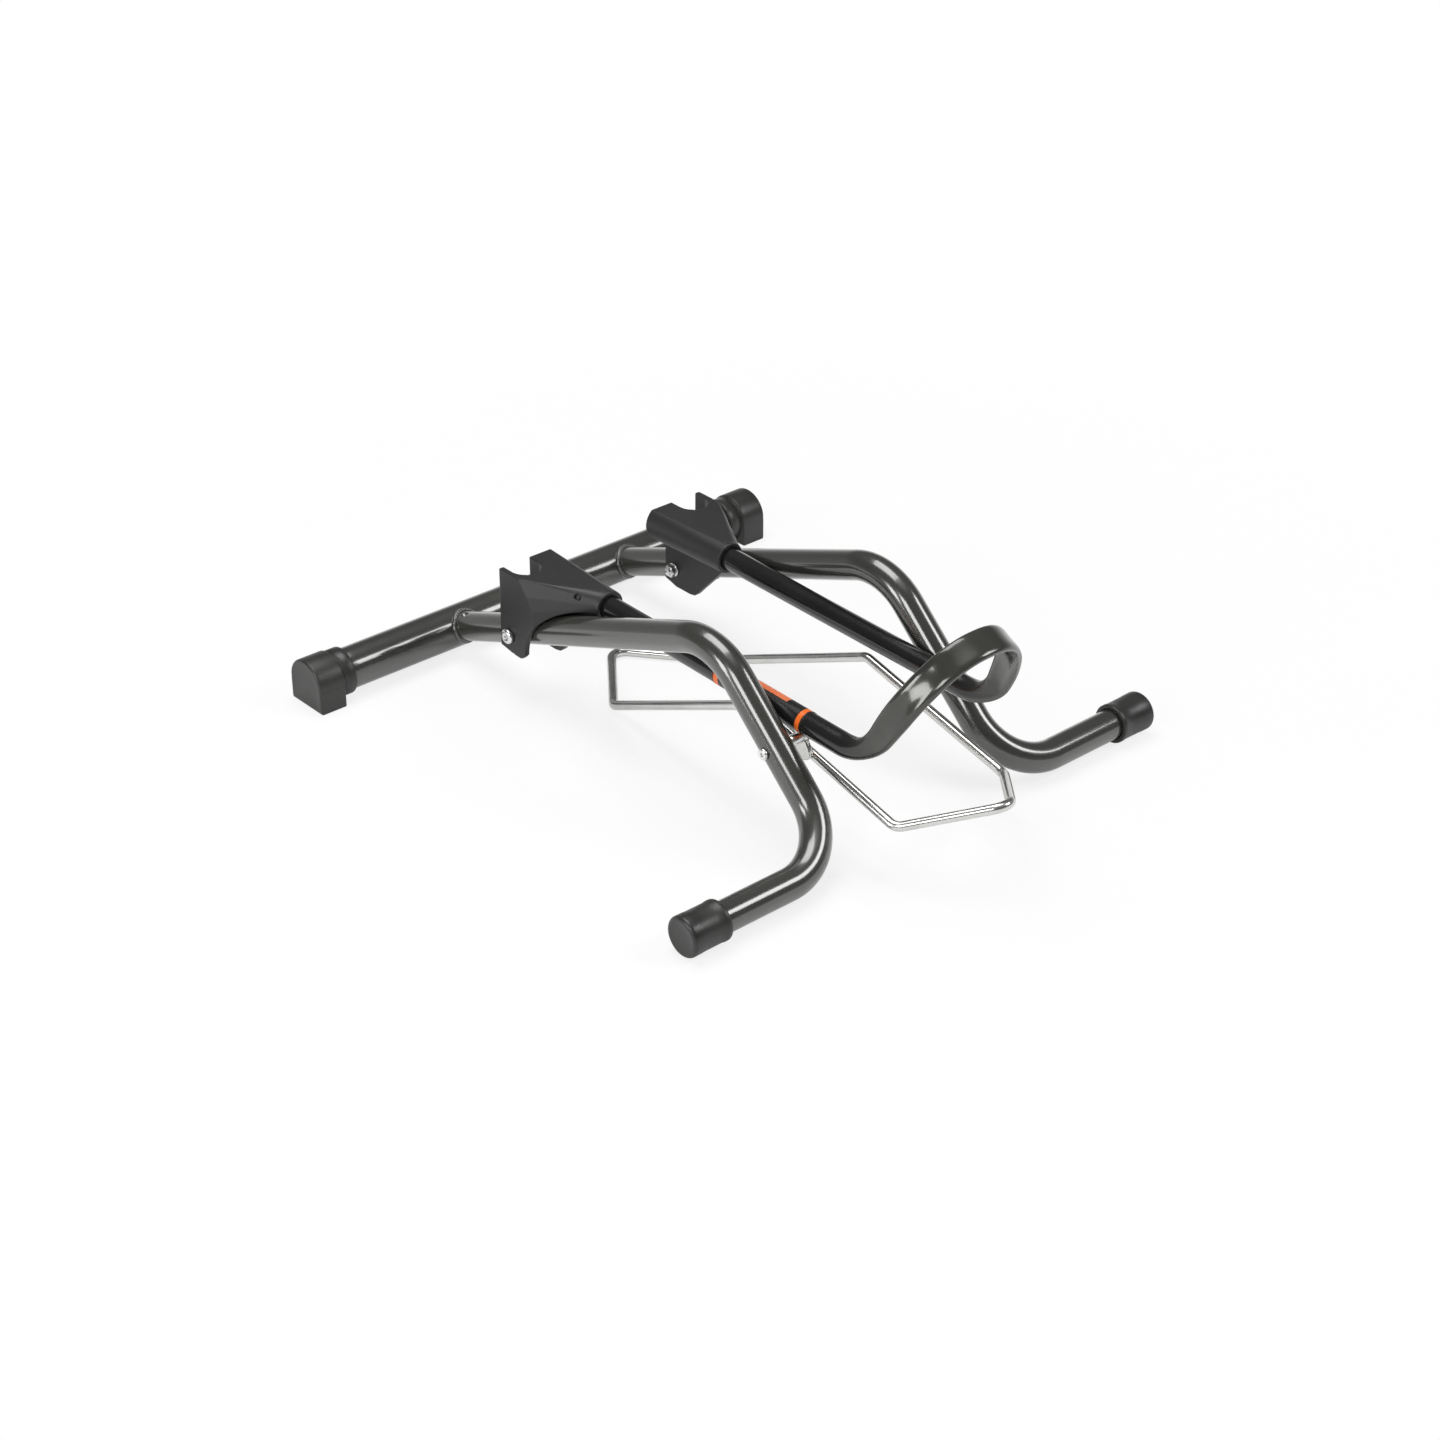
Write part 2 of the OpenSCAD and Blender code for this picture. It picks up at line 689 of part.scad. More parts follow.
// Rivet that holds the hoop leg in its bracket, its end level with the bracket's skin
module bracket_rivet(s) {
    rivet_in = hoop_r - hoop_tube_wall - 1.5;
    edge = 0.6;
    color(plastic)
        in_hoop(s)
            at_rivet() {
                translate([0, 0, rivet_in])
                    cylinder(h = rivet_out - edge - rivet_in, r = rivet_r);
                translate([0, 0, rivet_out - edge])
                    cylinder(h = edge, r1 = rivet_r, r2 = rivet_r - edge);
            }
}

module label_band() {
    color(satin_black)
        in_hoop(-1)
            translate([label_start, hoop_y, hoop_rise])
                rotate([0, 90, 0])
                    difference() {
                        cylinder(h = label_l, r = hoop_r + push_gap + label_t);
                        translate([0, 0, -past])
                            cylinder(h = label_l + 2 * past, r = hoop_r + push_gap);
                    }
}

module cradle_wire() {
    color(chrome)
        side(1)
            rod(wire_points, [for (p = wire_points) wire_bend_r], wire_r, closed = true);
}

// Lug welded flat to the outer side of the wire's rail, with a boss and the bore for the
// cradle bolt
module cradle_lug(s) {
    rail_drop = kink_back * sin(rail_front_dip);
    color(chrome)
        side(s)
            difference() {
                union() {
                    across(rock_x, rock_z, lug_in_y, lug_out_y, lug_r);
                    translate([rock_x, 0, rock_z])
                        rotate([0, rail_front_dip, 0])
                            plate(lug_in_y + lug_boss, lug_out_y - lug_boss)
                                polygon([[-lug_r * 0.8, 0], [lug_r * 0.8, 0],
                                    [lug_w / 2, 1 - rail_drop], [lug_w / 2, -rail_drop - wire_r / 2],
                                    [lug_w / 2 - wire_r, -rail_drop - wire_r * 1.3],
                                    [wire_r - lug_w / 2, -rail_drop - wire_r * 1.3],
                                    [-lug_w / 2, -rail_drop - wire_r / 2],
                                    [-lug_w / 2, 1 - rail_drop]]);
                }
                across(rock_x, rock_z, lug_in_y - past, lug_out_y + past,
                    cradle_bolt_d / 2 + run_gap);
            }
}

base_bar();
foot(1);  // foot_left
foot(-1);  // foot_right
leg(1);  // leg_left
leg(-1);  // leg_right
leg_cap(1);  // leg_cap_left
leg_cap(-1);  // leg_cap_right
weld(1);  // weld_left
weld(-1);  // weld_right
pivot_sleeve(1);  // pivot_sleeve_left
pivot_sleeve(-1);  // pivot_sleeve_right
hoop_bolt(1);  // hoop_bolt_left
hoop_bolt(-1);  // hoop_bolt_right
hoop_washer(1);  // hoop_washer_left
hoop_washer(-1);  // hoop_washer_right
hoop_nut(1);  // hoop_nut_left
hoop_nut(-1);  // hoop_nut_right
cradle_bolt(1);  // cradle_bolt_left
cradle_bolt(-1);  // cradle_bolt_right
cradle_spacer(1);  // cradle_spacer_left
cradle_spacer(-1);  // cradle_spacer_right
cradle_washer(1);  // cradle_washer_left
cradle_washer(-1);  // cradle_washer_right
cradle_nut(1);  // cradle_nut_left
cradle_nut(-1);  // cradle_nut_right
hoop();
bracket(1);  // bracket_left
bracket(-1);  // bracket_right
bracket_rivet(1);  // bracket_rivet_left
bracket_rivet(-1);  // bracket_rivet_right
label_band();
cradle_wire();
cradle_lug(1);  // cradle_lug_left
cradle_lug(-1);  // cradle_lug_right
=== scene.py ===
import json

import bmesh
import bpy
import numpy as np
from mathutils import Matrix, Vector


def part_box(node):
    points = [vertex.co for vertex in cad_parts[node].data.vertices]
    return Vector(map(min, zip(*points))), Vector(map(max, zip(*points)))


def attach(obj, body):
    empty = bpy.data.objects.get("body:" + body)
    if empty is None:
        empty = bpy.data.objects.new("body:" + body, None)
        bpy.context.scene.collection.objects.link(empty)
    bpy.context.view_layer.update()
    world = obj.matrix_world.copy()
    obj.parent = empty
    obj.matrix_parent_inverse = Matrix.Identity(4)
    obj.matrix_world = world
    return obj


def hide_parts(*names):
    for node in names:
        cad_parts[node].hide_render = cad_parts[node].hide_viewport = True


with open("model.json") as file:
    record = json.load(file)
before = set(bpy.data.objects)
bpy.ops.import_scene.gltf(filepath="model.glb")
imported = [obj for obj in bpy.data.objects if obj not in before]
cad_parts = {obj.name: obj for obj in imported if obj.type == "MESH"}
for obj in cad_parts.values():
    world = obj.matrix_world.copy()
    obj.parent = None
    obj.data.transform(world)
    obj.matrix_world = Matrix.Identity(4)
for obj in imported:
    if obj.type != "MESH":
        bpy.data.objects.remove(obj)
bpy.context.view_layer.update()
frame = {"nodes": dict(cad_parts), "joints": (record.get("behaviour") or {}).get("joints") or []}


# The photograph's viewpoint, worked out from the edges of its tubes: a long lens that looks
# down on the stand from its front right corner. The lens is shifted a little because the
# picture is not centred on its optical axis.
def stand_at(across, up, out, place):
    """Matrix of a thing at a place, from the directions of its own X, Y and Z axes."""
    rows = [[across[i], up[i], out[i], place[i]] for i in range(3)]
    return Matrix(rows + [[0, 0, 0, 1]])


bar_low, bar_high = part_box("base_bar")
bar_x = (bar_low[0] + bar_high[0]) / 2
aim = np.array([bar_x + 0.224971, -0.000981, 0.0])
turn, tilt, roll = np.radians([49.065, 30.304, -0.238])
camera_away = 2.36806
picture_px, focal_px = 1440, 2867.8
axis_across_px, axis_down_px = 707.59, 710.89
back = np.array([np.sin(turn) * np.cos(tilt), -np.cos(turn) * np.cos(tilt), np.sin(tilt)])
level = np.array([np.cos(turn), np.sin(turn), 0.0])
rise = np.cross(back, level)
right = level * np.cos(roll) + rise * np.sin(roll)
above = rise * np.cos(roll) - level * np.sin(roll)
lens = bpy.data.cameras.new("photograph")
lens.sensor_width = 36.0
lens.lens = 36.0 * focal_px / picture_px
lens.shift_x = (picture_px / 2 - axis_across_px) / picture_px
lens.shift_y = (axis_down_px - picture_px / 2) / picture_px
lens.clip_end = 100.0
camera = bpy.data.objects.new("camera", lens)
camera.matrix_world = stand_at(right, above, back, aim + back * camera_away)
bpy.context.scene.collection.objects.link(camera)
bpy.context.scene.camera = camera


# The studio floor: the stand lies on a wide sheet of matt white board. The board is seen close to
# white, so that its shadows stay faint beside the stand and fade further out.
def node_kit(tree):
    """add(kind, inputs, settings) puts a node in the tree, and join links an output to an input."""

    def add(kind, inputs=None, **settings):
        node = tree.nodes.new("ShaderNode" + kind)
        for key, value in settings.items():
            setattr(node, key, value)
        for key, value in (inputs or {}).items():
            node.inputs[key].default_value = value
        return node

    return add, tree.links.new


def new_finish(name):
    """A new material with its node kit and its main shader."""
    material = bpy.data.materials.new(name)
    material.use_nodes = True
    add, join = node_kit(material.node_tree)
    return material, add, join, material.node_tree.nodes["Principled BSDF"]


def speckle(add, join, scale, detail=4.0):
    """Cloudy noise from 0 to 1 in the piece's own coordinates."""
    noise = add("TexNoise", {"Scale": scale, "Detail": detail, "Roughness": 0.55})
    join(add("TexCoord").outputs["Object"], noise.inputs["Vector"])
    return noise.outputs["Fac"]


def spread(add, join, value, low, high, start=0.3, end=0.7):
    """Maps a value from start..end to low..high, and holds it there outside that range."""
    fit = add("MapRange", {"From Min": start, "From Max": end, "To Min": low, "To Max": high})
    join(value, fit.inputs["Value"])
    return fit.outputs["Result"]


def tint(add, join, value, *stops):
    """Colour ramp: each stop is a position and a grey, or a position and an RGB colour."""
    ramp = add("ValToRGB")
    band = ramp.color_ramp
    while len(band.elements) < len(stops):
        band.elements.new(0.5)
    for element, (position, colour) in zip(band.elements, stops):
        element.position = position
        element.color = (*np.ones(3) * colour, 1.0)
    join(value, ramp.inputs["Fac"])
    return ramp.outputs["Color"]


floor_half, shade_reach, white_reach = 30.0, 0.25, 0.90
board, add, join, shader = new_finish("white_board")
shader.inputs["Roughness"].default_value = 0.9
shader.inputs["Specular IOR Level"].default_value = 0.2
board_tone = tint(add, join, speckle(add, join, 3.0), (0.3, 0.90), (0.7, 0.92))
join(board_tone, shader.inputs["Base Color"])
seen, place, apart = add("LightPath"), add("TexCoord"), add("VectorMath", operation="LENGTH")
join(place.outputs["Object"], apart.inputs[0])
whiteness = None
for ray, beside_stand in (("Camera", 0.80), ("Transmission", 0.80), ("Glossy", 0.30)):
    whiter = spread(add, join, apart.outputs["Value"], beside_stand, 1.0, shade_reach, white_reach)
    share = add("Math", {2: 0.0}, operation="MULTIPLY_ADD")
    join(seen.outputs["Is " + ray + " Ray"], share.inputs[0])
    join(whiter, share.inputs[1])
    if whiteness is not None:
        join(whiteness, share.inputs[2])
    whiteness = share.outputs["Value"]
glow, blend = add("Emission"), add("MixShader")
join(whiteness, blend.inputs["Fac"])
join(shader.outputs["BSDF"], blend.inputs[1])
join(glow.outputs["Emission"], blend.inputs[2])
join(blend.outputs["Shader"], board.node_tree.nodes["Material Output"].inputs["Surface"])
floor_mesh = bpy.data.meshes.new("floor")
corner = np.array([[-1, -1, 0], [1, -1, 0], [1, 1, 0], [-1, 1, 0]]) * floor_half
floor_mesh.from_pydata(corner.tolist(), [], [(0, 1, 2, 3)])
floor_mesh.materials.append(board)
floor = bpy.data.objects.new("floor", floor_mesh)
bpy.context.scene.collection.objects.link(floor)


# The studio lights: a large softbox overhead, two smaller ones whose reflections are the two
# bright streaks along every tube, and a low one on the left that shows in the hook. The walls are
# a soft grey, pale low down and overhead, and the one behind the stand is white low down.
def softbox(name, bearing, height, distance, width, depth, brightness):
    """Rectangular lamp of an even brightness, facing the stand. Its bearing and its height above
    the floor are in degrees, as seen from the stand."""
    bearing, height = np.radians([bearing, height])
    lamp = bpy.data.lights.new(name, "AREA")
    lamp.shape = "RECTANGLE"
    lamp.size, lamp.size_y = width, depth
    lamp.energy = brightness * np.pi * width * depth
    out = np.array([np.cos(bearing) * np.cos(height), np.sin(bearing) * np.cos(height), np.sin(height)])
    across = np.array([-np.sin(bearing), np.cos(bearing), 0.0])
    box = bpy.data.objects.new(name, lamp)
    box.matrix_world = stand_at(across, np.cross(out, across), out, out * distance)
    bpy.context.scene.collection.objects.link(box)


softbox("top_box", 180, 78, 2.4, 1.5, 1.5, 4.8)
softbox("right_box", 42, 40, 2.6, 0.80, 0.80, 8.6)
softbox("left_box", -70, 31, 2.6, 0.74, 0.74, 8.2)
softbox("low_box", -99, 17, 2.6, 0.60, 0.95, 8.5)

grey_stops = (0.0, 0.22), (0.35, 0.12), (0.9, 0.22), (1.0, 1.0)
white_stops = (0.0, 0.85), (0.36, 0.12), (0.9, 0.20), (1.0, 1.0)
walls = bpy.data.worlds.new("walls")
walls.use_nodes = True
bpy.context.scene.world = walls
add, join = node_kit(walls.node_tree)
place, split, room = add("TexCoord"), add("SeparateXYZ"), add("Mix", data_type="RGBA")
join(place.outputs["Generated"], split.inputs["Vector"])
join(tint(add, join, split.outputs["Z"], *grey_stops), room.inputs["A"])
join(tint(add, join, split.outputs["Z"], *white_stops), room.inputs["B"])
behind = add("VectorMath", {1: (-np.sin(turn), np.cos(turn), 0.0)}, operation="DOT_PRODUCT")
join(place.outputs["Generated"], behind.inputs[0])
join(spread(add, join, behind.outputs["Value"], 0.0, 1.0, 0.1, 0.7), room.inputs["Factor"])
join(room.outputs["Result"], walls.node_tree.nodes["Background"].inputs["Color"])


# The base bar: a straight length of 36 mm round steel tube with 1.6 mm walls, sprayed in a
# glossy gunmetal with fine metal flake. It lies 21 mm above the floor at its axis.
def full_turn(steps):
    """Even steps round one full turn."""
    return np.linspace(0, 2 * np.pi, steps, endpoint=False)


def skin(name, grid, loop=False):
    """A mesh over a grid of points: rows along the piece, columns round it. Neighbouring rows and
    columns are joined by four sided faces. Both ends are closed to a point at their middle, unless
    the rows run in a loop, and the faces are turned so that the enclosed volume is positive."""
    rows, cols = grid.shape[:2]
    points = grid.reshape(-1, 3)
    r = np.arange(rows if loop else rows - 1)[:, None]
    c = np.arange(cols)[None, :]
    below, beside = (r + 1) % rows, (c + 1) % cols
    corners = r * cols + c, r * cols + beside, below * cols + beside, below * cols + c
    quads = np.stack(np.broadcast_arrays(*corners), -1).reshape(-1, 4)
    fans = np.zeros((0, 3), int)
    if not loop:
        k, last = np.arange(cols), (rows - 1) * cols
        first_pole = len(points)
        points = np.vstack([points, grid[0].mean(0), grid[-1].mean(0)])
        start_fan = np.stack([(k + 1) % cols, k, np.full(cols, first_pole)], -1)
        end_fan = np.stack([last + k, last + (k + 1) % cols, np.full(cols, first_pole + 1)], -1)
        fans = np.vstack([start_fan, end_fan])
    triangles = np.vstack([quads[:, [0, 1, 2]], quads[:, [0, 2, 3]], fans])
    a, b, d = (points[triangles[:, i]] for i in range(3))
    if np.einsum("ij,ij->i", a, np.cross(b, d)).sum() < 0:
        quads, fans = quads[:, ::-1], fans[:, ::-1]
    mesh = bpy.data.meshes.new(name)
    mesh.from_pydata(points.tolist(), [], quads.tolist() + fans.tolist())
    mesh.polygons.foreach_set("use_smooth", np.ones(len(mesh.polygons), bool))
    piece = bpy.data.objects.new(name, mesh)
    bpy.context.scene.collection.objects.link(piece)
    return piece


def turned(name, axis, outline, sides=72, flats=None):
    """A turned part whose axis runs along Y through a point. Each row of the outline is a distance
    along Y and a radius. flats gives each row's share of a hexagon in place of the circle."""
    outline = np.asarray(outline, float)
    t = full_turn(sides)
    hexagon = np.cos(np.pi / 6) / np.cos((t % (np.pi / 3)) - np.pi / 6)
    share = np.zeros(len(outline)) if flats is None else np.asarray(flats, float)
    radius = outline[:, 1, None] * (1 - share[:, None] + share[:, None] * hexagon)
    along = np.broadcast_to(outline[:, 0, None], radius.shape)
    return skin(name, np.stack([axis[0] + radius * np.cos(t), along, axis[2] + radius * np.sin(t)], -1))


def fit_out(piece, material, body, slot, *replaced):
    """Gives a piece its material, the body it moves with and the CAD nodes it stands for."""
    piece.data.materials.append(material)
    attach(piece, body)
    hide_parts(*replaced)


def give_surface(add, join, shader, cloud, smooth, matt, grain, strength, height):
    """Roughness goes from smooth to matt with the cloudy noise. A finer noise, of the grain's scale
    and detail, stands out from the surface by a strength and a height."""
    join(spread(add, join, cloud, smooth, matt), shader.inputs["Roughness"])
    relief = add("Bump", {"Strength": strength, "Distance": height})
    join(speckle(add, join, *grain), relief.inputs["Height"])
    join(relief.outputs["Normal"], shader.inputs["Normal"])


gunmetal, add, join, shader = new_finish("gunmetal_paint")
shader.inputs["Metallic"].default_value = 0.2
shader.inputs["Specular IOR Level"].default_value = 1.0
shader.inputs["Coat Weight"].default_value = 0.9
shader.inputs["Coat Roughness"].default_value = 0.08
patches = speckle(add, join, 9.0, 5.0)
paint_tone = tint(add, join, patches, (0.3, (0.036, 0.037, 0.032)), (0.7, (0.049, 0.049, 0.043)))
flake_tone = tint(add, join, speckle(add, join, 1600.0, 2.0), (0.35, (0.93, 0.93, 0.92)), (0.7, 1.0))
mixed = add("Mix", {"Factor": 0.5}, data_type="RGBA", blend_type="MULTIPLY")
join(paint_tone, mixed.inputs["A"])
join(flake_tone, mixed.inputs["B"])
join(mixed.outputs["Result"], shader.inputs["Base Color"])
give_surface(add, join, shader, patches, smooth=0.20, matt=0.26,
             grain=(180.0, 2.0), strength=0.03, height=0.0003)

bar_r, bar_wall, bar_edge = 0.018, 0.0016, 0.0003
bar_half = bar_high[1]
bar_axis = np.array([bar_x, 0.0, (bar_low[2] + bar_high[2]) / 2])
bar_end = [(bar_half - bar_edge, bar_r), (bar_half, bar_r - bar_edge), (bar_half, bar_r - bar_wall)]
bar_start = [(-y, r) for y, r in bar_end[::-1]]
bar_middle = [(y, bar_r) for y in np.linspace(-0.2, 0.2, 9)]
bar = turned("bar_tube", bar_axis, bar_start + bar_middle + bar_end, 96)
fit_out(bar, gunmetal, "frame", "bar_paint", "base_bar")


# The two feet: boots of black rubber, pushed over the ends of the base bar. Each is a flat
# bottomed block with a round top and softly rounded edges, with a thin round collar behind it
# that grips the tube.
rubber, add, join, shader = new_finish("boot_rubber")
mottle = speckle(add, join, 22.0, 6.0)
rubber_tone = tint(add, join, mottle, (0.3, (0.018, 0.018, 0.017)), (0.75, (0.027, 0.027, 0.025)))
join(rubber_tone, shader.inputs["Base Color"])
shader.inputs["Specular IOR Level"].default_value = 0.55
give_surface(add, join, shader, mottle, smooth=0.34, matt=0.46,
             grain=(700.0, 3.0), strength=0.18, height=0.0003)

foot_low, foot_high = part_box("foot_left")
block_length, collar_r, foot_sides = 0.025, bar_r + 0.0025, 256
end_round, rear_round = 0.0022, 0.0012
foot_half = (foot_high[0] - foot_low[0]) / 2
top_r = foot_half + 0.0003
top_z = foot_high[2] - top_r
foot_end, collar_start = foot_high[1], foot_low[1]
block_start = foot_end - block_length
both_sides = ("left", 1), ("right", -1)
quarter = np.linspace(0, np.pi / 2, 9)


def block_ring(inset, y, sharpness=50.0):
    """Outline of the block at y, drawn in by an inset: in each direction the nearest of the flat
    sides, the flat sole and the round top, which doesn't count below its middle. They are blended
    as one over the root of the sum of their powers, so that the corners are only just rounded."""
    t = full_turn(foot_sides)
    flat_sides = np.abs(np.cos(t)) / (foot_half - inset)
    flat_sole = np.maximum(-np.sin(t), 0) / (top_z - inset)
    round_top = np.clip(1 + 2 * np.sin(t), 0, 1) / (top_r - inset)
    nearness = flat_sides ** sharpness + flat_sole ** sharpness + round_top ** sharpness
    reach = nearness ** (-1 / sharpness)
    return np.stack([bar_x + reach * np.cos(t), np.full(foot_sides, y), top_z + reach * np.sin(t)], -1)


end_face = [(0.016, 0.0006), (0.0085, 0.0005), (0.0040, 0.0002)]
end_face += [(end_round * (1 - np.sin(a)), end_round * (1 - np.cos(a))) for a in quarter]
rear_edge = [(rear_round * (1 - np.cos(a)), rear_round * (1 - np.sin(a))) for a in quarter]
collar = [(block_start - 0.0002, collar_r - 0.0006), (block_start - 0.0012, collar_r - 0.0007),
          (block_start - 0.0016, collar_r), (collar_start + 0.0008, collar_r),
          (collar_start + 0.0002, collar_r - 0.0002), (collar_start, collar_r - 0.0007),
          (collar_start, bar_r + 0.0002), (collar_start + 0.0005, bar_r), (foot_end - 0.004, bar_r)]
t = full_turn(foot_sides)
round_bar = np.stack([np.cos(t), np.zeros(foot_sides), np.sin(t)], -1)
foot_rows = [block_ring(inset, foot_end - sunk) for inset, sunk in end_face]
foot_rows += [block_ring(inset, block_start + ahead) for inset, ahead in rear_edge]
foot_rows += [bar_axis + np.array([0, y, 0]) + round_bar * r for y, r in collar]
for side, s in both_sides:
    boot = skin("foot_boot_" + side, np.stack(foot_rows) * np.array([1, s, 1]))
    fit_out(boot, rubber, "frame", "rubber", "foot_" + side)


# The two legs: 25.4 mm round tube in the same paint, bent in two places. Each rises from the
# base bar, turns over, falls to the floor and turns outward. A small vent hole near the base
# bar let the gas out while the tube was welded.
leg_r, leg_y = 0.0127, 0.090
leg_rise, rise_angle = 0.360, np.radians(20.6)
top_bend, foot_bend, cap_floor = 0.058, 0.052, 0.004
vent_along, vent_turn, vent_r, drill_half = 0.026, np.radians(20), 0.0030, 0.004
seam_way = np.array([0.45, -0.55, 0.70])
cap_low, cap_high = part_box("leg_cap_left")
cap_axis = np.array([(cap_low[0] + cap_high[0]) / 2, 0.0, (cap_low[2] + cap_high[2]) / 2])
weld_at = bar_axis + np.array([0, leg_y, 0])
leg_top = weld_at + leg_rise * np.array([np.cos(rise_angle), 0, np.sin(rise_angle)])
leg_foot = cap_axis + np.array([0, leg_y, 0])
leg_end = cap_axis + np.array([0, cap_high[1] - cap_floor, 0])


def bent_path(corners, bends, loop=False, step=0.004):
    """Points and directions along straight runs joined by round bends. A run stops short of its
    corner by the bend's radius times the tangent of half the turn, and an arc carries it round."""
    n = len(corners)
    points, ways = [], []
    for i in range(n if loop else n - 1):
        a, b = corners[i], corners[(i + 1) % n]
        before, after = corners[i - 1], corners[(i + 2) % n]
        u, v = (b - a) / np.linalg.norm(b - a), (after - b) / np.linalg.norm(after - b)
        into = (a - before) / np.linalg.norm(a - before)
        start = bends[i] * np.tan(np.arccos(np.clip(into @ u, -1, 1)) / 2) if loop or i else 0.0
        bend = bends[(i + 1) % n] if loop or i < n - 2 else 0.0
        angle = np.arccos(np.clip(u @ v, -1, 1)) if bend else 0.0
        length = np.linalg.norm(b - a) - start - bend * np.tan(angle / 2)
        along = np.linspace(0, length, max(2, int(length / step)))[:, None]
        points.append(a + u * (start + along))
        ways.append(np.broadcast_to(u, (len(along), 3)))
        if bend:
            inward = (v - u * (u @ v)) / np.linalg.norm(v - u * (u @ v))
            f = np.linspace(0, angle, int(np.degrees(angle) / 2) + 2)[1:-1, None]
            middle = points[-1][-1] + inward * bend
            points.append(middle + bend * (u * np.sin(f) - inward * np.cos(f)))
            ways.append(u * np.cos(f) + inward * np.sin(f))
    return np.vstack(points), np.vstack(ways)


def ring(sides, radius):
    """Closed outline of a circle: the radius times the cosine and sine of a full turn."""
    t = full_turn(sides)
    return radius * np.stack([np.cos(t), np.sin(t)], -1)


def carry(outline, points, ways, upward):
    """A closed outline carried along a path: its first number goes across the path and its second
    along the part of the upward direction that is square to the path."""
    across = np.cross(ways, upward)
    across /= np.linalg.norm(across, axis=1)[:, None]
    over = np.cross(across, ways)
    outline = np.broadcast_to(outline, (len(points),) + np.shape(outline)[-2:])
    return points[:, None] + across[:, None] * outline[..., :1] + over[:, None] * outline[..., 1:]


def set_in_mesh(piece):
    """Works the piece's modifiers into its mesh."""
    finished = piece.evaluated_get(bpy.context.evaluated_depsgraph_get())
    shaped = bpy.data.meshes.new_from_object(finished)
    piece.modifiers.clear()
    piece.data = shaped


def cut_away(piece, cutter):
    """Takes the cutter's volume away from the piece, keeps the result and drops the cutter."""
    cut = piece.modifiers.new("cut", "BOOLEAN")
    cut.operation, cut.solver, cut.object = "DIFFERENCE", "EXACT", cutter
    set_in_mesh(piece)
    bpy.data.objects.remove(cutter)


leg_corners = np.array([weld_at, leg_top, leg_foot, leg_end])
leg_points, leg_ways = bent_path(leg_corners, [0, top_bend, foot_bend, 0])
leg_grid = carry(ring(80, leg_r), leg_points, leg_ways, seam_way)
rise_way = leg_ways[0]
rise_up = np.array([-np.sin(rise_angle), 0, np.cos(rise_angle)])
for side, s in both_sides:
    leg = skin("leg_tube_" + side, leg_grid * np.array([1, s, 1]))
    vent_out = rise_up * np.cos(vent_turn) + np.array([0, s * np.sin(vent_turn), 0])
    vent = weld_at * np.array([1, s, 1]) + rise_way * vent_along + vent_out * leg_r
    drill_line = vent + np.array([[-drill_half], [drill_half]]) * vent_out
    drill = skin("drill", carry(ring(40, vent_r), drill_line, np.tile(vent_out, (2, 1)), rise_way))
    cut_away(leg, drill)
    fit_out(leg, gunmetal, "frame", "bar_paint", "leg_" + side)


# The weld beads: where a leg's coped end meets the base bar, one run of weld goes round it and is
# painted over. It shows as a rippled rope about 4 mm wide.
weld_r, weld_off = 0.0020, 0.0006
t = full_turn(240)
reach = np.sqrt((bar_r + weld_off) ** 2 - (leg_r * np.sin(t)) ** 2)
round_leg = np.cos(t)[:, None] * np.array([0, 1.0, 0]) + np.sin(t)[:, None] * rise_up
seam = weld_at + (leg_r + weld_off) * round_leg + reach[:, None] * rise_way
seam_ways = np.roll(seam, -1, 0) - np.roll(seam, 1, 0)
seam_ways /= np.linalg.norm(seam_ways, axis=1)[:, None]
for side, s in both_sides:
    ripple = weld_r * (1 + 0.12 * np.abs(np.sin(16 * t)) + 0.06 * np.sin(3 * t + s))
    bead = carry(ring(18, 1.0)[None] * ripple[:, None, None], seam, seam_ways, rise_way)
    weld = skin("weld_bead_" + side, bead * np.array([1, s, 1]), loop=True)
    fit_out(weld, gunmetal, "frame", "bar_paint", "weld_" + side)


# The leg caps: black rubber boots on the outward ends of the legs, with a rounded rim, a face
# that is dished by a hair and a moulded lip at the mouth.
rim_round, lip_length, lip_step = 0.0030, 0.0040, 0.0004
cap_r = (cap_high[0] - cap_low[0]) / 2
cap_mouth, cap_end = cap_low[1] + 0.003, cap_high[1]
cap_bore = [(cap_mouth + 0.030, leg_r), (cap_mouth + 0.0004, leg_r + 0.0001), (cap_mouth, leg_r + 0.0006)]
cap_lip = [(cap_mouth, cap_r - 0.0009), (cap_mouth + 0.0003, cap_r - 0.0003),
           (cap_mouth + 0.0010, cap_r), (cap_mouth + lip_length, cap_r)]
cap_wall = [(cap_mouth + lip_length + 0.0007, cap_r - lip_step), (cap_mouth + 0.012, cap_r - lip_step),
            (cap_mouth + 0.025, cap_r - 0.0003), (cap_end - 0.0100, cap_r - 0.0001)]
cap_rim = [(cap_end - rim_round * (1 - np.sin(a)), cap_r - rim_round * (1 - np.cos(a))) for a in quarter]
cap_face = [(cap_end - 0.0001, cap_r - 0.0042), (cap_end - 0.0005, cap_r - 0.0060), (cap_end - 0.0006, 0.004)]
cap_outline = np.array(cap_bore + cap_lip + cap_wall + cap_rim + cap_face)
for side, s in both_sides:
    cap = turned("leg_boot_" + side, cap_axis, cap_outline * [s, 1], 96)
    fit_out(cap, rubber, "frame", "rubber", "leg_cap_" + side)


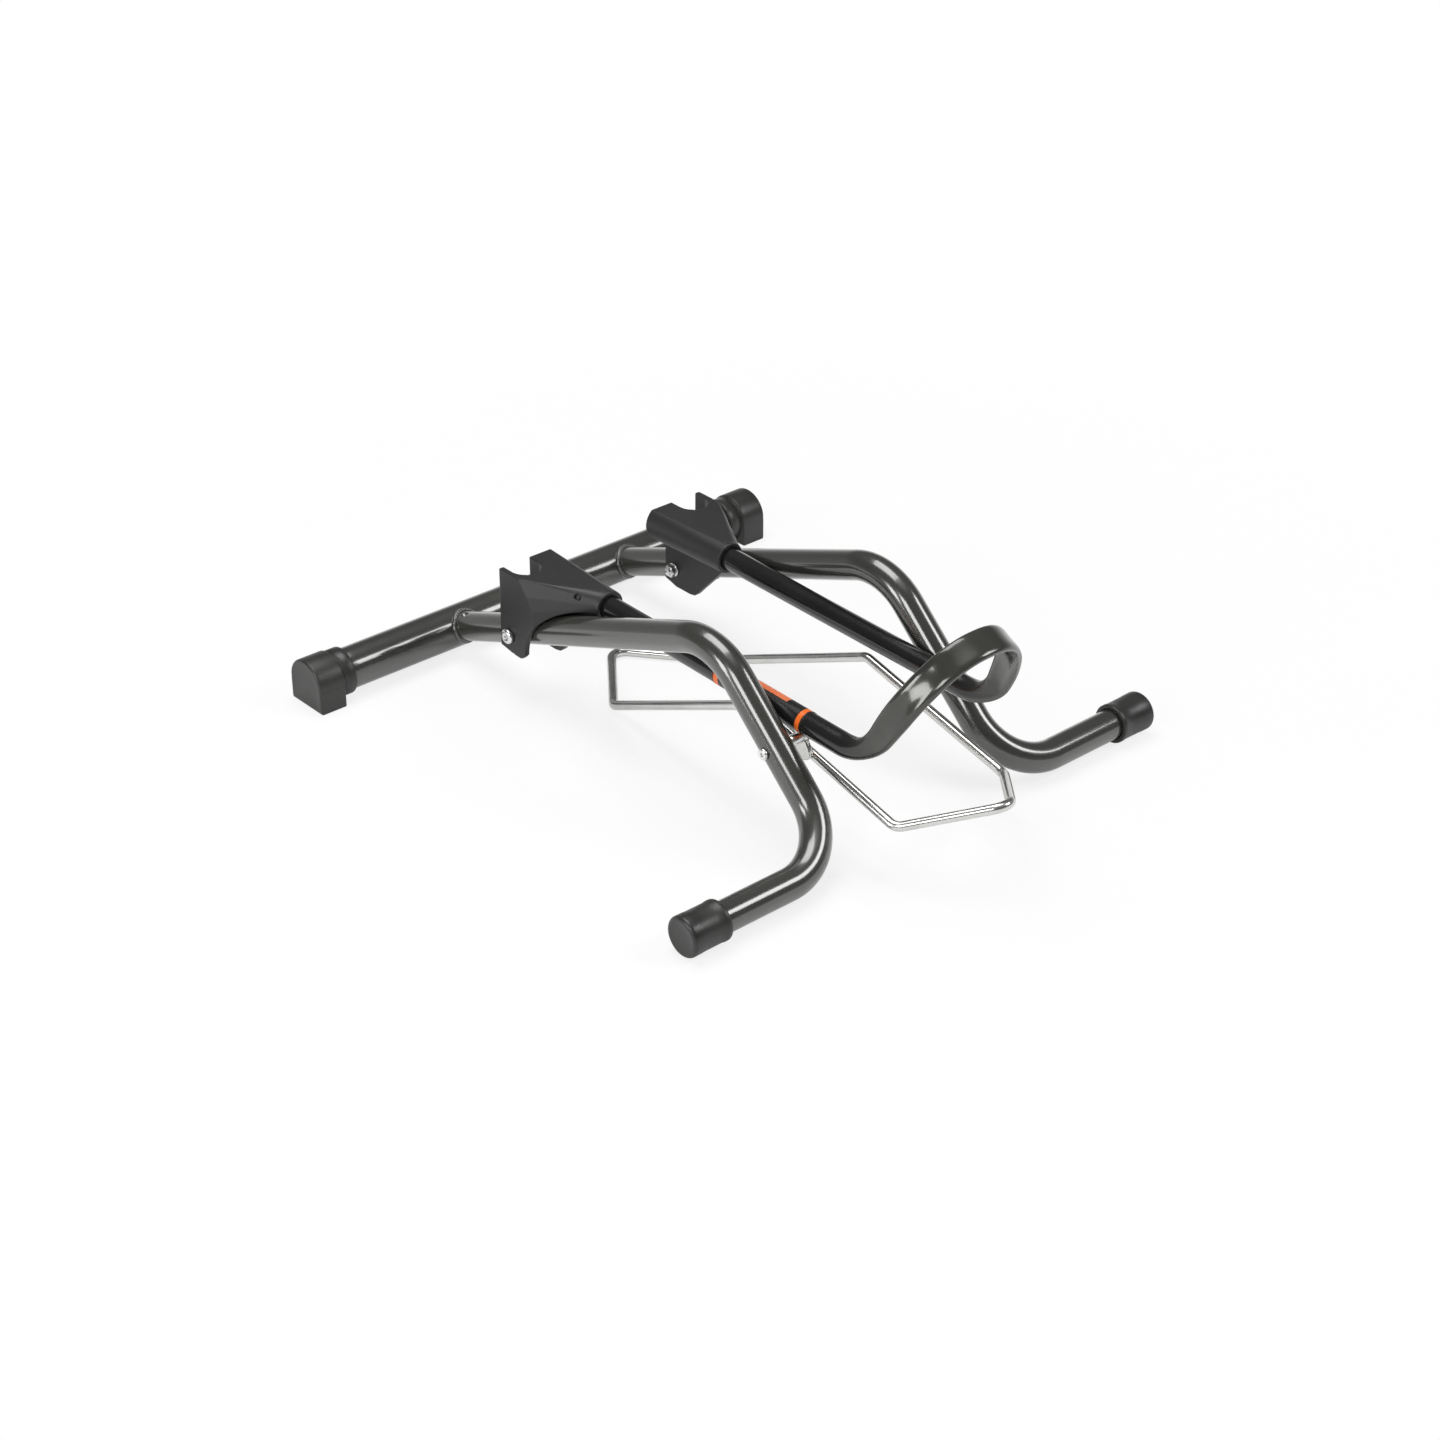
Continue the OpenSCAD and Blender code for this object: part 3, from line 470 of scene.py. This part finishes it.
# The hoop: one 19 mm steel tube in satin black. Its two legs run forward side by side and join
# in an arch that is bent up and pressed flat into a broad strap, the hook that catches a tyre.
pivot = np.array(frame["joints"][0]["pos_m"]) * np.array([1, 0, 1])
dip = np.radians(1.2)
hoop_r, hoop_y, hoop_rise = 0.0095, 0.0645, 0.0444
hoop_start, hoop_length = -0.007, 0.350
hook_angle, hook_bend, hook_length, hook_full = np.radians(63.0), 0.043, 0.127, 2.3
strap_w, strap_t, squareness = 0.0245, 0.0075, 0.3
flat_by, wide_from, wide_by = 0.045, 0.018, 0.075
pinch, pinch_length = 0.0009, 0.05
dent, dent_from, dent_by = 0.45, 0.030, 0.055
dent_loss, loss_from, loss_by = 0.55, 0.06, 0.11
straight_rows, hoop_sides = 90, 64


def dipped(points, angle):
    """Points turned about the Y axis, so that what lay along X points down by the angle."""
    x, y, z = np.moveaxis(points, -1, 0)
    return np.stack([x * np.cos(angle) + z * np.sin(angle), y, z * np.cos(angle) - x * np.sin(angle)], -1)


def in_hoop(points, s=1):
    """From the hoop's own frame, with X along its legs and its origin on the pivot, to the stand."""
    return pivot + dipped(points, dip) * np.array([1, s, 1])


def squared(wave, power):
    """A sine or cosine made fuller by a power under 1 of its size, with its sign kept."""
    return np.sign(wave) * np.abs(wave) ** power


def hook_line(t):
    """The arch's middle line for t from -90 to 90 degrees: a superellipse between the two legs,
    laid on a path that turns up round the hook's bend and then runs straight. It gives the
    points, the normals of the arch's surface and the distance from the end of the round tube."""
    far = hook_length * np.abs(np.cos(t)) ** (2 / hook_full)
    y = hoop_y * squared(np.sin(t), 2 / hook_full)
    arc = hook_bend * hook_angle
    a = np.minimum(far, arc) / hook_bend
    beyond = np.maximum(far - arc, 0)
    x = hoop_length + hook_bend * np.sin(a) + beyond * np.cos(a)
    z = hoop_rise + hook_bend * (1 - np.cos(a)) + beyond * np.sin(a)
    normals = np.stack([-np.sin(a), np.zeros_like(a), np.cos(a)], -1)
    return np.stack([x, y, z], -1), normals, np.hypot(far, hoop_y - np.abs(y))


def eased(value, start, end):
    """From 0 at start to 1 at end, level at both: 3 f squared less 2 f cubed of the share f."""
    f = np.clip((value - start) / (end - start), 0, 1)
    return f * f * (3 - 2 * f)


# The middle line runs up one leg, round the arch, with its points closer at both ends, and back.
even = np.linspace(-1, 1, 361)
arch, normals, reach = hook_line(np.pi / 2 * (0.4 * np.sin(np.pi / 2 * even) + 0.6 * even))
ways = np.gradient(arch, axis=0)
ways[0], ways[-1] = (1, 0, 0), (-1, 0, 0)
run = np.linspace(hoop_start, hoop_length - 0.0005, straight_rows)
near_leg = np.stack([run, np.full(straight_rows, -hoop_y), np.full(straight_rows, hoop_rise)], -1)
line = np.vstack([near_leg, arch, (near_leg * np.array([1, -1, 1]))[::-1]])
forward, upright = np.tile([1.0, 0, 0], (straight_rows, 1)), np.tile([0, 0, 1.0], (straight_rows, 1))
ways = np.vstack([forward, ways, -forward])
ways /= np.linalg.norm(ways, axis=1)[:, None]
normals = np.vstack([upright, normals, upright])
reach = np.concatenate([np.zeros(straight_rows), reach, np.zeros(straight_rows)])

# Along the arch the round section eases into the strap: thinner, broader and squarer, a little
# pinched where that starts, and pressed in along the middle of both its faces.
flat, widened = eased(reach, 0, flat_by), eased(reach, wide_from, wide_by)
dented = dent * eased(reach, dent_from, dent_by) * (1 - dent_loss * eased(reach, loss_from, loss_by))
pinched = pinch * np.sin(np.pi * np.clip(reach / pinch_length, 0, 1)) ** 2
half_w = hoop_r + (strap_w / 2 - hoop_r) * widened - pinched
half_t = hoop_r + (strap_t / 2 - hoop_r) * flat
t = full_turn(hoop_sides)
corner_power = (1 - squareness * flat)[:, None]
wide = half_w[:, None] * squared(np.cos(t), corner_power)
thin = half_t[:, None] * squared(np.sin(t), corner_power)
thin *= 1 - dented[:, None] * np.abs(np.sin(t)) ** 8
beside = np.cross(ways, normals)
hoop_grid = line[:, None] + normals[:, None] * wide[..., None] + beside[:, None] * thin[..., None]
hoop = skin("hoop_tube", in_hoop(hoop_grid))
flatness = hoop.data.attributes.new("flatness", "FLOAT", "POINT")
flatness.data.foreach_set("value", np.append(np.repeat(flat, hoop_sides), [0.0, 0.0]).astype(np.float32))

hoop_paint, add, join, shader = new_finish("hoop_paint")
cloud = speckle(add, join, 30.0, 5.0)
shade = add("Mix", data_type="RGBA")
join(add("Attribute", attribute_name="flatness").outputs["Fac"], shade.inputs["Factor"])
join(tint(add, join, cloud, (0.3, 0.010), (0.7, 0.015)), shade.inputs["A"])
join(tint(add, join, cloud, (0.3, (0.045, 0.045, 0.040)), (0.7, (0.060, 0.060, 0.053))), shade.inputs["B"])
join(shade.outputs["Result"], shader.inputs["Base Color"])
shader.inputs["Metallic"].default_value = 0.30
shader.inputs["Coat Weight"].default_value = 0.5
shader.inputs["Coat Roughness"].default_value = 0.06
give_surface(add, join, shader, cloud, smooth=0.14, matt=0.20,
             grain=(200.0, 2.0), strength=0.03, height=0.0003)
fit_out(hoop, hoop_paint, "hoop", "hoop_paint", "hoop")


# The brackets: one black plastic moulding on each side. A barrel grips the end of the hoop's
# tube, two cheeks straddle the leg, and a saddle between them rests on it. Its outer side is
# scooped out below in a wide arc. Every edge of the moulding is rounded, so the solid's shape
# is taken, scooped, closed over as one skin and softened.
scoop_middle, scoop_r = np.array([0.0750, 0.0, -0.0129]), 0.0546
scoop_in, scoop_out = 0.0778, 0.125
skin_grain, soft_rounds = 0.0007, 6
plastic, add, join, shader = new_finish("bracket_plastic")
tone = speckle(add, join, 14.0, 5.0)
join(tint(add, join, tone, (0.3, 0.015), (0.7, 0.021)), shader.inputs["Base Color"])
give_surface(add, join, shader, tone, smooth=0.40, matt=0.48,
             grain=(1100.0, 2.0), strength=0.25, height=0.0003)
for side, s in both_sides:
    work = bmesh.new()
    work.from_mesh(frame["nodes"]["bracket_" + side].data)
    bmesh.ops.remove_doubles(work, verts=work.verts, dist=1e-6)
    mesh = bpy.data.meshes.new("bracket_moulding_" + side)
    work.to_mesh(mesh)
    work.free()
    moulding = bpy.data.objects.new("bracket_moulding_" + side, mesh)
    bpy.context.scene.collection.objects.link(moulding)
    outline = np.array([(scoop_in, scoop_r), (scoop_out, scoop_r)]) * [s, 1]
    cut_away(moulding, turned("scoop", in_hoop(scoop_middle), outline, 180))
    close = moulding.modifiers.new("close", "REMESH")
    close.mode, close.voxel_size = "VOXEL", skin_grain
    soften = moulding.modifiers.new("soften", "SMOOTH")
    soften.factor, soften.iterations = 0.5, soft_rounds
    set_in_mesh(moulding)
    moulding.data.materials.clear()
    moulding.data.polygons.foreach_set("use_smooth", np.ones(len(moulding.data.polygons), bool))
    fit_out(moulding, plastic, "hoop", "bracket_plastic", "bracket_" + side)


# The rivets: one rivet on the outer side of each barrel, sprayed black, holds the hoop's tube in
# it. It points up a little, and its domed end is level with the moulding.
rivet_r, rivet_dome, rivet_tilt = 0.0024, 0.0010, np.radians(24.0)
rivet_x, rivet_start, rivet_end = 0.060, 0.0066, 0.0215
rivet_out = np.array([0.0, np.cos(rivet_tilt), np.sin(rivet_tilt)])
dome = [(rivet_end - rivet_dome * (1 - np.cos(a)), rivet_r * np.sin(a) + 0.00005) for a in quarter]
depth, radius = np.array([(rivet_start, rivet_r)] + dome[::-1]).T
rivet_line = np.array([rivet_x, hoop_y, hoop_rise]) + depth[:, None] * rivet_out
rivet_ways = np.tile(rivet_out, (len(depth), 1))
rivet_grid = carry(ring(40, 1.0) * radius[:, None, None], rivet_line, rivet_ways, np.array([1.0, 0, 0]))
for side, s in both_sides:
    rivet = skin("rivet_" + side, in_hoop(rivet_grid, s))
    fit_out(rivet, plastic, "hoop", "bracket_plastic", "bracket_rivet_" + side)


# The hoop's pivots: a steel sleeve welded through each leg, and through it a 6 mm bolt with a
# domed socket head outside, a flat washer and a hexagon nut inside. All are bright zinc plate.
zinc, add, join, shader = new_finish("zinc_plate")
shader.inputs["Metallic"].default_value = 1.0
wash = speckle(add, join, 160.0, 5.0)
zinc_tone = tint(add, join, wash, (0.3, (0.72, 0.73, 0.74)), (0.7, (0.86, 0.86, 0.84)))
join(zinc_tone, shader.inputs["Base Color"])
give_surface(add, join, shader, wash, smooth=0.22, matt=0.36,
             grain=(500.0, 3.0), strength=0.12, height=0.0002)
ring_bore, broken_edge = 0.002, 0.0002


def socket_screw(name, axis, s, start, end, head_r, head_h, shank_r, socket):
    """Domed socket screw from the tip of its shank to its head. The dome is a quarter wave from the
    head's rim to the mouth of the socket, and the socket's sides are a hexagon."""
    seat, tip = end - head_h, 0.0006
    shank = [(start, shank_r - tip), (start + tip, shank_r), (seat, shank_r)]
    rim = [(seat, head_r - 0.0004), (seat + 0.0004, head_r)]
    dome = [(seat + head_h * (0.45 + 0.55 * np.sin(a)), head_r * (0.62 + 0.38 * np.cos(a))) for a in quarter]
    cup = [(end, socket * 1.12), (end - 0.0003, socket), (seat + head_h * 0.45, socket),
           (seat + head_h * 0.30, 0.0004)]
    flats = [0.0] * len(shank + rim + dome) + [0.3, 1.0, 1.0, 0.0]
    return turned(name, axis, np.array(shank + rim + dome + cup) * [s, 1], 72, flats)


def flat_ring(name, axis, s, start, end, outer):
    """Washer, sleeve or spacer: a ring of square section with its edges broken."""
    edge = min(broken_edge, (end - start) / 4)
    outline = [(start, ring_bore), (start, outer - edge), (start + edge, outer),
               (end - edge, outer), (end, outer - edge), (end, ring_bore)]
    return turned(name, axis, np.array(outline) * [s, 1], 64)


def hexagon_nut(name, axis, s, start, end, across_flats):
    """Six sided nut. Its corners are cut back by a cone at both faces."""
    flat, thread = across_flats / 2, 0.0004
    corner = flat / np.cos(np.pi / 6)
    cone = 0.6 * (corner - flat)
    outline = [(start + thread, ring_bore), (start, ring_bore + thread), (start, flat - broken_edge),
               (start + cone, corner), (end - cone, corner), (end, flat - broken_edge),
               (end, ring_bore + thread), (end - thread, ring_bore)]
    return turned(name, axis, np.array(outline) * [s, 1], 72, [0, 0, 0, 1, 1, 0, 0, 0])


def bolt_up(axis, *fasteners):
    """Puts zinc plated fasteners on an axis on both sides. Each is how it is made, its name, its CAD
    node, which says where along Y it starts and ends, and its sizes."""
    for side, s in both_sides:
        for make, name, node, sizes in fasteners:
            low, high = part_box(node + side)
            start, end = sorted([abs(low[1]), abs(high[1])])
            piece = make(name + side, axis, s, start, end, **sizes)
            fit_out(piece, zinc, "frame", "zinc", node + side)


pivot_screw = dict(head_r=0.0065, head_h=0.0044, shank_r=0.003, socket=0.0018)
bolt_up(pivot,
        (socket_screw, "pivot_bolt_", "hoop_bolt_", pivot_screw),
        (flat_ring, "pivot_washer_", "hoop_washer_", dict(outer=0.006)),
        (flat_ring, "sleeve_", "pivot_sleeve_", dict(outer=0.0055)),
        (hexagon_nut, "pivot_nut_", "hoop_nut_", dict(across_flats=0.00975)))


# The cradle: one closed loop of 8 mm steel wire with a bright plated finish. It is kinked in the
# middle and bent to a point at both ends, and lies between the legs.
rock = np.array(frame["joints"][1]["pos_m"]) * np.array([1, 0, 1])
wire_r, wire_bend, rail_y = 0.004, 0.012, 0.058
bolt_to_kink, rear_rail, rear_point = 0.057, 0.194, 0.074
front_rail, front_dip = 0.158, np.radians(14.1)
lip, lip_rise = 0.0666, np.radians(21.4)
wire_z = wire_r + 0.0003
kink = rock - np.array([bolt_to_kink, 0.0, 0.0])
heel = np.array([kink[0] - np.sqrt(rear_rail ** 2 - (kink[2] - wire_z) ** 2), 0.0, wire_z])
toe = kink + front_rail * np.array([np.cos(front_dip), 0, -np.sin(front_dip)])
front_tip = toe + lip * np.array([np.cos(lip_rise), 0, np.sin(lip_rise)])
rear_tip = heel - np.array([rear_point, 0, 0])
rail = np.array([0, rail_y, 0])
wire_corners = np.array([rear_tip, heel - rail, kink - rail, toe - rail, front_tip,
                         toe + rail, kink + rail, heel + rail])
wire_points, wire_ways = bent_path(wire_corners, [wire_bend] * 8, loop=True, step=0.003)
wire_grid = carry(ring(28, wire_r), wire_points, wire_ways, np.array([0, 0, 1.0]))
wire = skin("cradle_rod", wire_grid, loop=True)
chrome, add, join, shader = new_finish("bright_wire")
shader.inputs["Metallic"].default_value = 1.0
haze = speckle(add, join, 60.0, 6.0)
wire_tone = tint(add, join, haze, (0.3, (0.62, 0.62, 0.60)), (0.7, (0.72, 0.72, 0.70)))
join(wire_tone, shader.inputs["Base Color"])
give_surface(add, join, shader, haze, smooth=0.18, matt=0.25,
             grain=(400.0, 3.0), strength=0.02, height=0.0002)
fit_out(wire, chrome, "cradle", "wire", "cradle_wire")


# The lugs: small steel plates welded flat to the outer side of the wire's front rails. Each has
# a round boss at its upper end for the bolt, and widens to its weld.
boss_r, weld_overlap, flare, lug_sides = 0.0043, 0.0050, 0.9, 120
t = full_turn(lug_sides)
down = np.maximum(-np.sin(t), 0)
weld_reach = bolt_to_kink * np.sin(front_dip) + weld_overlap
plate_out = boss_r + (weld_reach - boss_r) * down ** 2.6
plate_x, plate_z = plate_out * np.cos(t) * (1 + flare * down), plate_out * np.sin(t)
for side, s in both_sides:
    low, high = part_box("cradle_lug_" + side)
    inner, outer = sorted([abs(low[1]), abs(high[1])])
    plate_rows = [(inner + 0.0003, 0.3), (inner, 0.75), (inner + 0.0001, 0.93), (inner + 0.0004, 1.0),
                  (outer - 0.0004, 1.0), (outer - 0.0001, 0.93), (outer, 0.75), (outer, 0.3)]
    plate = np.stack([np.stack([f * plate_x, np.full(lug_sides, y), f * plate_z], -1) for y, f in plate_rows])
    lug = skin("lug_" + side, rock + dipped(plate, front_dip) * np.array([1, s, 1]))
    fit_out(lug, chrome, "cradle", "wire", "cradle_lug_" + side)


# The cradle's bolts: a 5 mm socket screw through each leg, with a spacer between the leg and the
# lug and a washer and nut on the lug's inner side, zinc plated like the others.
cradle_screw = dict(head_r=0.00475, head_h=0.0028, shank_r=0.0025, socket=0.0015)
bolt_up(rock,
        (socket_screw, "cradle_screw_", "cradle_bolt_", cradle_screw),
        (flat_ring, "spacer_", "cradle_spacer_", dict(outer=0.0043)),
        (flat_ring, "rail_washer_", "cradle_washer_", dict(outer=0.005)),
        (hexagon_nut, "rail_nut_", "cradle_nut_", dict(across_flats=0.00833)))


# The band: a thin printed film round the near tube of the hoop. It is glossy black with a plain
# orange ring at each end and a plain orange patch on its upper side.
band_start, band_length, film_r, band_sides = 0.214, 0.100, hoop_r + 0.00035, 64
film_rows = [(share, film_r) for share in np.linspace(0, 1, 120)]
rows = np.array([(0.0, hoop_r), (0.0, film_r)] + film_rows + [(1.0, film_r), (1.0, hoop_r)])
t = full_turn(band_sides)
band_x = np.broadcast_to(band_start + rows[:, :1] * band_length, (len(rows), band_sides))
band_y, band_z = hoop_y + rows[:, 1:] * np.cos(t), hoop_rise + rows[:, 1:] * np.sin(t)
band = skin("printed_band", in_hoop(np.stack([band_x, band_y, band_z], -1), -1))
for name, values in (("along", np.repeat(rows[:, 0], band_sides)),
                     ("height", np.tile(np.sin(t), len(rows))),
                     ("outward", np.tile(np.cos(t), len(rows)))):
    field = band.data.attributes.new(name, "FLOAT", "POINT")
    field.data.foreach_set("value", np.append(values, [0.0, 0.0]).astype(np.float32))

film, add, join, shader = new_finish("printed_film")
black, ring_orange, patch_orange = 0.010, (0.86, 0.16, 0.02), (0.80, 0.20, 0.08)
along, height, outward = (add("Attribute", attribute_name=name).outputs["Fac"]
                          for name in ("along", "height", "outward"))
rings = tint(add, join, along, (0.0, black), (0.02, ring_orange), (0.06, ring_orange), (0.065, black),
             (0.935, black), (0.94, ring_orange), (0.98, ring_orange), (0.985, black))
patch = tint(add, join, along, (0.0, black), (0.08, black), (0.085, patch_orange),
             (0.76, patch_orange), (0.765, black))
upper = add("Math", operation="MULTIPLY")
join(spread(add, join, outward, 0.0, 1.0, 0.22, 0.14), upper.inputs[0])
join(spread(add, join, height, 0.0, 1.0, 0.0, 0.1), upper.inputs[1])
both = add("Mix", {"Factor": 1.0}, data_type="RGBA", blend_type="LIGHTEN")
join(rings, both.inputs["A"])
join(patch, both.inputs["B"])
printed = add("Mix", data_type="RGBA")
join(upper.outputs["Value"], printed.inputs["Factor"])
join(rings, printed.inputs["A"])
join(both.outputs["Result"], printed.inputs["B"])
join(printed.outputs["Result"], shader.inputs["Base Color"])
join(spread(add, join, speckle(add, join, 40.0), 0.18, 0.26), shader.inputs["Roughness"])
fit_out(band, film, "hoop", "band", "label_band")

# The picture shows the tones as they are lit.
bpy.context.scene.view_settings.view_transform = "Standard"
